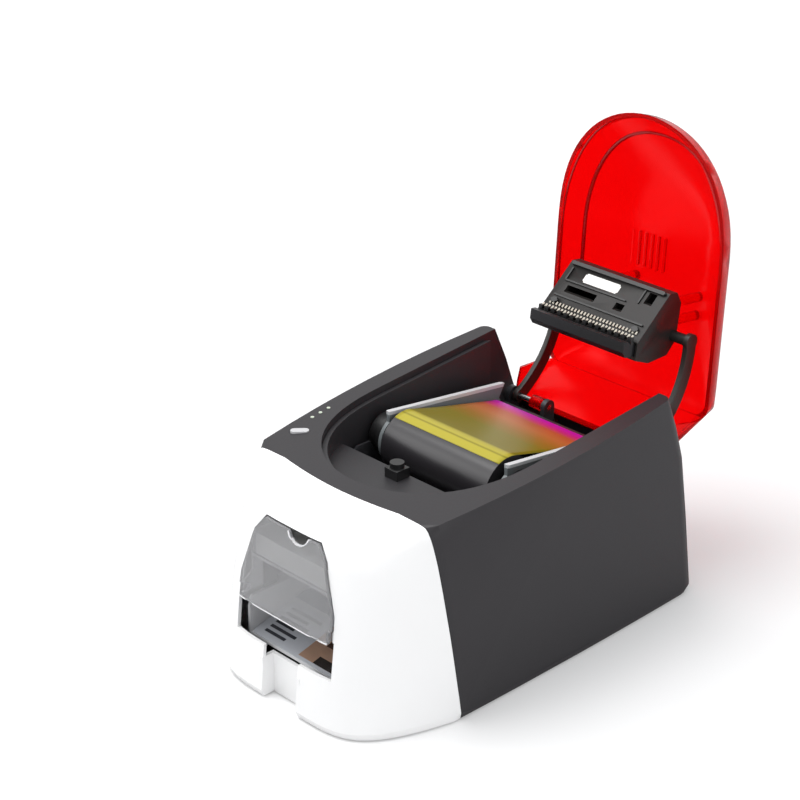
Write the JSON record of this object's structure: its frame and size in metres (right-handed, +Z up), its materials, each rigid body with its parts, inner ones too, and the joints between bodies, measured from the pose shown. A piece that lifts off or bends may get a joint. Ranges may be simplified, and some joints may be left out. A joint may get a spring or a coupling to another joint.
{
  "type": "id card printer",
  "caption": "Desktop printer for plastic ID cards with a hinged see-through lid, a lift-out ribbon cassette, a card hopper behind a tilting visor and a geared card transport.",
  "frame": {"origin": "centre of the bounding box in plan, on the surface the feet stand on, with the lid open and the cassette seated", "axes": "+X to the right of someone facing the front, -Y out of the front, +Z up"},
  "size_m": [0.188, 0.3896, 0.3308],
  "materials": {
    "charcoal_plastic": "fine moulded texture",
    "black_rubber": "matt",
    "white_plastic": "satin",
    "dark_plastic": "fine moulded texture",
    "zinc_steel": "black zinc plated",
    "bright_steel": "bright",
    "black_plastic": "satin",
    "pale_plastic": "satin",
    "white_card": "smooth",
    "grey_plastic": "satin",
    "printed_card": "printed",
    "circuit_board": "solder mask",
    "bush_brass": "machined",
    "light_window": "clear",
    "silver_plastic": "satin silver",
    "smoke_plastic": "smoke tinted, clear",
    "red_clear_plastic": "red tinted, clear",
    "dark_steel": "satin",
    "head_grey": "satin",
    "head_aluminium": "black anodised",
    "comb_plastic": "satin",
    "cassette_grey": "fine moulded texture",
    "ribbon_film": "thin film",
    "wound_film": "wound film",
    "roller_rubber": "ground rubber on a steel shaft",
    "gear_nylon": "moulded nylon"
  },
  "bodies": {
    "housing": {"base_pan": "charcoal_plastic", "rubber_feet": "black_rubber", "main_casing": "charcoal_plastic", "front_shell": "white_plastic", "bay_liner": "dark_plastic", "side_frame_left": "zinc_steel", "side_frame_right": "zinc_steel", "chassis_bars": "zinc_steel", "hinge_brackets": "zinc_steel", "hinge_pins": "bright_steel", "ribbon_sensor": "black_plastic", "card_hopper": "pale_plastic", "card_stack": "white_card", "output_tray": "grey_plastic", "printed_card": "printed_card", "main_board": "circuit_board", "board_chips": "black_plastic", "usb_socket": "bright_steel", "power_socket": "black_plastic", "transport_motor": "zinc_steel", "ribbon_motor": "zinc_steel", "shaft_bushes": "bush_brass", "idler_pins": "bright_steel", "casing_screws": "bright_steel", "status_lights": "light_window", "panel_board": "circuit_board"},
    "button": {"power_button": "silver_plastic"},
    "visor": {"visor": "smoke_plastic"},
    "lid": {"lid_shell": "red_clear_plastic", "head_arm_left": "dark_steel", "head_arm_right": "dark_steel", "head_frame": "head_grey", "head_screws": "bright_steel", "head_springs": "bright_steel"},
    "print_head": {"thermal_head": "head_aluminium", "heat_sink": "head_aluminium", "head_comb": "comb_plastic"},
    "cassette": {"cassette_plate_left": "cassette_grey", "cassette_plate_right": "cassette_grey", "cassette_bars": "cassette_grey", "ribbon_film": "ribbon_film"},
    "supply_spool": {"supply_core": "black_plastic", "supply_roll": "wound_film"},
    "takeup_spool": {"takeup_core": "black_plastic", "takeup_roll": "wound_film"},
    "platen": {"platen_roller": "roller_rubber", "platen_gear": "gear_nylon"},
    "transport": {"transport_roller": "roller_rubber", "transport_gear": "gear_nylon"},
    "feed": {"feed_roller": "roller_rubber", "feed_gear": "gear_nylon"},
    "pickup": {"pickup_roller": "roller_rubber", "pickup_gear": "gear_nylon"},
    "idler_rear": {"idler_gear_rear": "gear_nylon"},
    "idler_middle": {"idler_gear_middle": "gear_nylon"},
    "idler_front": {"idler_gear_front": "gear_nylon"},
    "motor_rotor": {"motor_pinion": "bush_brass"},
    "pinch_front": {"pinch_roller_front": "bright_steel"},
    "pinch_rear": {"pinch_roller_rear": "bright_steel"},
    "ribbon_drive": {"ribbon_drive_gear": "black_plastic"}
  },
  "joints": [
    {"name": "lid_hinge", "type": "hinge", "parent": "housing", "child": "lid", "pos_m": [0, 0.09716, 0.11391], "axis": [-1, 0, 0], "range_deg": [-98, 0], "deforming": ["ribbon_film"]},
    {"name": "head_float", "type": "slide", "parent": "lid", "child": "print_head", "axis": [0, -0.9903, 0.1392], "range_m": [-0.0015, 0], "stiffness_N_per_m": 2000, "springref_m": 0.003},
    {"name": "visor_tilt", "type": "hinge", "parent": "housing", "child": "visor", "pos_m": [0, -0.18284, 0.07], "axis": [-1, 0, 0], "range_deg": [-70, 0]},
    {"name": "button_press", "type": "slide", "parent": "housing", "child": "button", "axis": [0, 0, 1], "range_m": [-0.0008, 0], "stiffness_N_per_m": 900, "springref_m": 0.0012},
    {"name": "cassette_lift", "type": "slide", "parent": "housing", "child": "cassette", "axis": [0, -0.5195, 0.8545], "range_m": [0, 0.17]},
    {"name": "supply_spin", "type": "hinge", "parent": "cassette", "child": "supply_spool", "pos_m": [0, -0.03184, 0.124], "axis": [1, 0, 0], "continuous": true},
    {"name": "takeup_spin", "type": "hinge", "parent": "cassette", "child": "takeup_spool", "pos_m": [0, 0.05618, 0.11304], "axis": [1, 0, 0], "continuous": true},
    {"name": "ribbon_drive_spin", "type": "hinge", "parent": "housing", "child": "ribbon_drive", "pos_m": [0, 0.06969, 0.09082], "axis": [1, 0, 0], "continuous": true},
    {"name": "platen_spin", "type": "hinge", "parent": "housing", "child": "platen", "pos_m": [0, 0.02516, 0.086], "axis": [1, 0, 0], "continuous": true},
    {"name": "transport_spin", "type": "hinge", "parent": "housing", "child": "transport", "pos_m": [0, -0.02584, 0.086], "axis": [1, 0, 0], "continuous": true},
    {"name": "feed_spin", "type": "hinge", "parent": "housing", "child": "feed", "pos_m": [0, -0.07684, 0.086], "axis": [1, 0, 0], "continuous": true},
    {"name": "pickup_spin", "type": "hinge", "parent": "housing", "child": "pickup", "pos_m": [0, -0.12784, 0.086], "axis": [1, 0, 0], "continuous": true},
    {"name": "idler_rear_spin", "type": "hinge", "parent": "housing", "child": "idler_rear", "pos_m": [0, -0.00034, 0.086], "axis": [1, 0, 0], "continuous": true},
    {"name": "idler_middle_spin", "type": "hinge", "parent": "housing", "child": "idler_middle", "pos_m": [0, -0.05134, 0.086], "axis": [1, 0, 0], "continuous": true},
    {"name": "idler_front_spin", "type": "hinge", "parent": "housing", "child": "idler_front", "pos_m": [0, -0.10234, 0.086], "axis": [1, 0, 0], "continuous": true},
    {"name": "motor_spin", "type": "hinge", "parent": "housing", "child": "motor_rotor", "pos_m": [0, -0.00034, 0.06475], "axis": [1, 0, 0], "continuous": true},
    {"name": "pinch_front_spin", "type": "hinge", "parent": "housing", "child": "pinch_front", "pos_m": [0, -0.07684, 0.09926], "axis": [1, 0, 0], "continuous": true},
    {"name": "pinch_rear_spin", "type": "hinge", "parent": "housing", "child": "pinch_rear", "pos_m": [0, -0.02584, 0.09726], "axis": [1, 0, 0], "continuous": true}
  ],
  "couplings": [
    {"joint": "takeup_spin", "follows": "supply_spin", "ratio": 1.7692},
    {"joint": "ribbon_drive_spin", "follows": "supply_spin", "ratio": -1.2974},
    {"joint": "transport_spin", "follows": "platen_spin", "ratio": 1},
    {"joint": "feed_spin", "follows": "platen_spin", "ratio": 1},
    {"joint": "pickup_spin", "follows": "platen_spin", "ratio": 1},
    {"joint": "idler_rear_spin", "follows": "platen_spin", "ratio": -1},
    {"joint": "idler_middle_spin", "follows": "platen_spin", "ratio": -1},
    {"joint": "idler_front_spin", "follows": "platen_spin", "ratio": -1},
    {"joint": "motor_spin", "follows": "platen_spin", "ratio": 1.5},
    {"joint": "pinch_front_spin", "follows": "platen_spin", "ratio": -1.5},
    {"joint": "pinch_rear_spin", "follows": "platen_spin", "ratio": -2.5}
  ]
}
